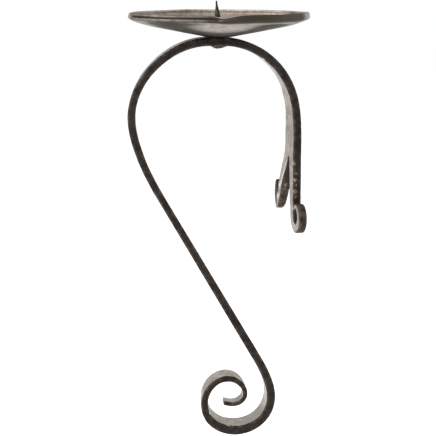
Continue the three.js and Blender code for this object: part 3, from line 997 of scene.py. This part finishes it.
def spike_stations(settings, floor_top):
    """(height, half width, squareness) from the bottom of the peened head to the tip."""
    head_top = WASHER_LOW.z + WASHER_LIFT - HEAD_CLEARANCE
    head_height = WASHER_LOW.z - HEAD_SEAT - SPIKE_LOW.z
    low = head_top - head_height
    foot = floor_top + FOOT_CLEARANCE
    rows = [(low + head_height * rise, settings.head_radius * size, HEAD_SQUARENESS)
            for rise, size in HEAD_PROFILE]
    rows.append((head_top + SHANK_STEP, settings.shank_radius, 0.0))
    rows.append((foot - FOOT_CHAMFER, settings.shank_radius, 0.0))
    rows.append((foot, settings.base_half * FOOT_START, FOOT_SQUARENESS))
    height = SPIKE_HIGH.z - foot
    neck = settings.neck_height / height
    for step in range(SPIKE_STEPS + 1):
        share = step / SPIKE_STEPS
        below = min(share / neck, 1)
        above = max((share - neck) / (1 - neck), 0)
        flare = (settings.neck_radius - settings.base_half) * math.sin(below * math.pi / 2)
        wide = settings.base_half + flare
        wide += (settings.tip_radius - wide) * math.sin(above * math.pi / 2)
        rise = (height - FOOT_CHAMFER - TIP_ROUNDING) * share
        rows.append((foot + FOOT_CHAMFER + rise, wide, FOOT_SQUARENESS * (1 - share)))
    rows.append((SPIKE_HIGH.z - TIP_STEP, settings.tip_radius * 0.8, 0.0))
    rows.append((SPIKE_HIGH.z, settings.tip_radius * 0.35, 0.0))
    return rows


class CANDLE_OT_pricket(bpy.types.Operator):
    """Make the square-tapered spike with its shank and peened head"""

    bl_idname = "candle_bracket.pricket"
    bl_label = "Pricket"

    def execute(self, context):
        settings = context.scene.bracket_spike
        floor_top = PAN_CENTRE.z + context.scene.bracket_pan.sheet
        rows = spike_stations(settings, floor_top)
        bm = bmesh.new()
        bmesh.ops.create_circle(bm, cap_ends=True, segments=40, radius=rows[0][1])
        bmesh.ops.translate(bm, vec=(0, 0, rows[0][0]), verts=bm.verts)
        steps = [(row[0] - last[0], row[1] / last[1]) for last, row in zip(rows, rows[1:])]
        top = rise_rings(bm, list(bm.edges), steps)
        bmesh.ops.holes_fill(bm, edges=top, sides=0)
        data = mesh_from(bm, "pricket_spike")
        points = read_points(data)
        square = np.interp(points[:, Z], [row[0] for row in rows], [row[2] for row in rows])
        angle = np.arctan2(points[:, Y], points[:, X])
        reach = np.maximum(np.abs(np.cos(angle)), np.abs(np.sin(angle)))
        points[:, :2] *= np.minimum(reach ** -square, WIDEST_CORNER)[:, None]
        share = np.clip((points[:, Z] - floor_top) / (SPIKE_HIGH.z - floor_top), 0, 1)
        points[:, X] += AXIS_X - settings.lean * share
        write_points(data, points)
        normals = read_normals(data)
        sunk = blows(points, normals, *SPIKE_BLOWS)
        under = smooth_step(WASHER_LOW.z, WASHER_LOW.z - HEAD_FADE, points[:, Z])
        sunk += under * HEAD_DENTS * smooth_step(-0.4, 0.5, ripple(points, HEAD_DENT_SIZE, 2))
        points = points - normals * sunk[:, None]
        points[:, Z] += under * HEAD_TILT * (points[:, X] - AXIS_X)
        write_points(data, points)
        write_attribute(data, "arris", arris(data))
        finish = black_scale_finish("spike_scale", settings.black_colour, 0.6, 0.42, 0.62)
        add_piece("forged_spike", data, "pricket", finish)
        return {"FINISHED"}


class CANDLE_OT_rivet_washer(bpy.types.Operator):
    """Make the thin washer between the arch and the peened head"""

    bl_idname = "candle_bracket.rivet_washer"
    bl_label = "Rivet washer"

    def execute(self, context):
        settings = context.scene.bracket_spike
        outer = (WASHER_HIGH.x - WASHER_LOW.x) / 2
        thick = WASHER_HIGH.z - WASHER_LOW.z
        hole = settings.shank_radius + WASHER_CLEARANCE
        soft = thick * WASHER_ROUNDING
        rows = [(hole, 0), (outer - soft, 0), (outer - soft * 0.3, soft * 0.3), (outer, soft),
                (outer, thick - soft), (outer - soft * 0.3, thick - soft * 0.3), (outer - soft, thick),
                (hole, thick)]
        data = spun(rows, WASHER_FACETS, "rivet_washer_disc")
        points = read_points(data)
        turn = np.arctan2(points[:, Y], points[:, X])
        out = smooth_step(hole, outer, np.hypot(points[:, X], points[:, Y]))
        shrink = 1 - out * (0.035 + 0.03 * np.sin(2 * turn + 0.6) + 0.015 * np.sin(5 * turn))
        points[:, :2] *= shrink[:, None]
        points[:, Z] += WASHER_TILT * points[:, X]
        points += np.array((AXIS_X, 0.0, WASHER_LOW.z + WASHER_LIFT))
        write_points(data, points)
        write_attribute(data, "arris", arris(data))
        finish = black_scale_finish("washer_scale", settings.washer_colour, 0.85, 0.35, 0.55)
        add_piece("hammered_washer", data, "rivet_washer", finish)
        return {"FINISHED"}


# ---- The stage ----

# The soft lamps, as (name, place, width and height, watts), and the point that they all face.
LAMPS = (
    ("left_softbox", (-1.6, -0.2, 0.3), (1.4, 1.6), 30),
    ("right_softbox", (1.5, -0.2, 0.3), (1.2, 1.6), 8),
    ("top_softbox", (-0.1, -0.1, 1.6), (1.6, 1.6), 9),
    ("front_softbox", (-0.6, -1.5, 0.9), (1.4, 1.0), 12),
)
LIT_POINT = Vector((-0.06, 0.0, -0.05))

# The point that the camera looks at.
SEEN_POINT = Vector((-0.0629, -0.010, -0.0496))

# Half the floor's width, and how far its own light lifts it to white for the camera.
FLOOR_HALF = 6.0
FLOOR_LIFT = 0.66


def add_lamp(name, stand, size, watts):
    lamp = bpy.data.lights.new(name, "AREA")
    lamp.shape = "RECTANGLE"
    lamp.size, lamp.size_y = size
    lamp.energy = watts
    holder = bpy.data.objects.new(name, lamp)
    bpy.context.collection.objects.link(holder)
    holder.location = stand
    holder.rotation_euler = (LIT_POINT - Vector(stand)).to_track_quat("-Z", "Y").to_euler()
    holder.visible_camera = False


def floor_material(colour):
    """A pale floor that the camera sees as white and that keeps the object's shadow."""
    material, tree, shader = new_material("pale_floor")
    vector = object_coordinates(tree)
    grain = clouds(tree, vector, 3, 3, 0.5)
    set_input(tree, shader.inputs["Base Color"],
              blend_colour(tree, grain, tint(colour, 0.985), colour))
    shader.inputs["Roughness"].default_value = 0.9
    shader.inputs["Specular IOR Level"].default_value = 0.1
    path = tree.nodes.new("ShaderNodeLightPath")
    lift = maths(tree, "MULTIPLY", path.outputs["Is Camera Ray"], FLOOR_LIFT)
    shader.inputs["Emission Color"].default_value = (1, 1, 1, 1)
    set_input(tree, shader.inputs["Emission Strength"], lift)
    return material


def world_surround(level):
    """White to the camera, and a plain studio surround for light and reflections."""
    world = bpy.data.worlds.new("studio_surround")
    world.use_nodes = True
    tree = world.node_tree
    tree.nodes.clear()
    output = tree.nodes.new("ShaderNodeOutputWorld")
    shown = tree.nodes.new("ShaderNodeBackground")
    lit = tree.nodes.new("ShaderNodeBackground")
    mixer = tree.nodes.new("ShaderNodeMixShader")
    path = tree.nodes.new("ShaderNodeLightPath")
    shown.inputs["Color"].default_value = (1, 1, 1, 1)
    shown.inputs["Strength"].default_value = 1.0
    lit.inputs["Color"].default_value = (1.0, 0.985, 0.965, 1)
    lit.inputs["Strength"].default_value = level
    tree.links.new(path.outputs["Is Camera Ray"], mixer.inputs["Fac"])
    tree.links.new(lit.outputs["Background"], mixer.inputs[1])
    tree.links.new(shown.outputs["Background"], mixer.inputs[2])
    tree.links.new(mixer.outputs["Shader"], output.inputs["Surface"])
    return world


class CANDLE_OT_stage(bpy.types.Operator):
    """Make the pale floor, the soft lamps and the camera"""

    bl_idname = "candle_bracket.stage"
    bl_label = "Stage"

    def execute(self, context):
        settings = context.scene.bracket_stage
        bm = bmesh.new()
        bmesh.ops.create_grid(bm, x_segments=2, y_segments=2, size=FLOOR_HALF)
        bmesh.ops.translate(bm, vec=(0, 0, settings.floor_drop), verts=bm.verts)
        data = mesh_from(bm, "studio_floor")
        data.materials.append(floor_material(settings.floor_colour))
        floor = bpy.data.objects.new("studio_floor", data)
        context.collection.objects.link(floor)

        context.scene.world = world_surround(settings.surround_level)
        for lamp in LAMPS:
            add_lamp(*lamp)

        camera_data = bpy.data.cameras.new("studio_camera")
        camera_data.lens = settings.lens
        camera_data.sensor_width = 36.0
        camera_data.sensor_fit = "HORIZONTAL"
        camera_data.clip_start = 0.01
        camera_data.clip_end = 60
        camera = bpy.data.objects.new("studio_camera", camera_data)
        context.collection.objects.link(camera)
        level = math.cos(settings.elevation)
        looks = Vector((math.sin(settings.azimuth) * level, math.cos(settings.azimuth) * level,
                        -math.sin(settings.elevation)))
        camera.location = SEEN_POINT - looks * settings.distance
        camera.rotation_euler = looks.to_track_quat("-Z", "Y").to_euler()
        context.scene.camera = camera
        context.scene.view_settings.view_transform = "Standard"
        return {"FINISHED"}


class CANDLE_PT_panel(bpy.types.Panel):
    """Lists the bracket's pieces and sizes"""

    bl_idname = "CANDLE_PT_panel"
    bl_label = "Candle Bracket"
    bl_space_type = "VIEW_3D"
    bl_region_type = "UI"
    bl_category = "Candle Bracket"

    def draw(self, context):
        layout = self.layout
        for group in GROUPS:
            column = layout.column(align=True)
            settings = getattr(context.scene, group)
            for name in settings.bl_rna.properties.keys():
                if name not in ("rna_type", "name"):
                    column.prop(settings, name)
        for operator in PIECES:
            layout.operator(operator.bl_idname)


PIECES = (CANDLE_OT_stage, CANDLE_OT_forged_bar, CANDLE_OT_drip_pan, CANDLE_OT_pricket,
          CANDLE_OT_rivet_washer)
GROUPS = {
    "bracket_bar": BarSettings,
    "bracket_pan": PanSettings,
    "bracket_spike": SpikeSettings,
    "bracket_stage": StageSettings,
}
CLASSES = (*GROUPS.values(), *PIECES, CANDLE_PT_panel)


def register():
    for item in CLASSES:
        bpy.utils.register_class(item)
    for name, group in GROUPS.items():
        setattr(bpy.types.Scene, name, PointerProperty(type=group))


def unregister():
    for name in GROUPS:
        delattr(bpy.types.Scene, name)
    for item in reversed(CLASSES):
        bpy.utils.unregister_class(item)


def main():
    register()
    bpy.ops.candle_bracket.stage()
    bpy.ops.candle_bracket.forged_bar()
    bpy.ops.candle_bracket.drip_pan()
    bpy.ops.candle_bracket.pricket()
    bpy.ops.candle_bracket.rivet_washer()


if __name__ == "__main__":
    main()
